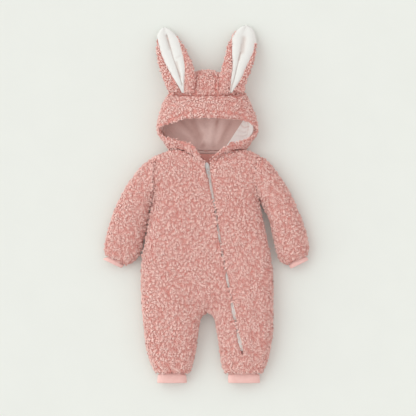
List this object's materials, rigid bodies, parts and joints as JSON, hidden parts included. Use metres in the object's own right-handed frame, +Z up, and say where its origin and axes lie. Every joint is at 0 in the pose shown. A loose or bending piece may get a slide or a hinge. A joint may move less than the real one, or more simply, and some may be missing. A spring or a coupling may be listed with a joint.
{
  "type": "baby romper",
  "caption": "Hooded baby romper in curled teddy fleece with rabbit ears, laid out on its back, slanted full-length zip, smooth knit cuffs, open neck, cuffs and face opening.",
  "frame": {"origin": "on the floor under the middle of the bounding box", "axes": "+Y towards the hood and the ears, -Y towards the feet, +Z up and away from the floor, out of the garment's front; the wearer's right side is at -X"},
  "size_m": [0.4998, 0.8632, 0.084],
  "materials": {
    "teddy_fleece": "curled pile, matt",
    "smooth_knit": "fine smooth knit, matt",
    "hood_lining": "soft brushed knit, matt",
    "cream_facing": "smooth cotton, matt",
    "white_plush": "short soft nap, matt",
    "zip_tape": "woven tape, matt",
    "zip_metal": "pale lacquer, satin"
  },
  "bodies": {
    "garment": {"front_right": "teddy_fleece", "front_left": "teddy_fleece", "back": "teddy_fleece", "sleeve_right": "teddy_fleece", "sleeve_left": "teddy_fleece", "cuff_sleeve_right": "smooth_knit", "cuff_sleeve_left": "smooth_knit", "cuff_leg_right": "smooth_knit", "cuff_leg_left": "smooth_knit", "hood_front": "teddy_fleece", "hood_back": "teddy_fleece", "hood_lining": "hood_lining", "hood_facing_right": "cream_facing", "hood_facing_left": "cream_facing", "neck_tape": "zip_tape", "ear_back_right": "teddy_fleece", "ear_plush_right": "white_plush", "ear_back_left": "teddy_fleece", "ear_plush_left": "white_plush", "zip_tape_right": "zip_tape", "zip_tape_left": "zip_tape", "zip_slider": "zip_metal"},
    "pull": {"zip_pull": "zip_metal"}
  },
  "joints": [
    {"name": "pull_hinge", "type": "hinge", "parent": "garment", "child": "pull", "pos_m": [0.00134, 0.09592, 0.05316], "axis": [-0.9829, -0.184, 0], "range_deg": [0, 100]}
  ]
}
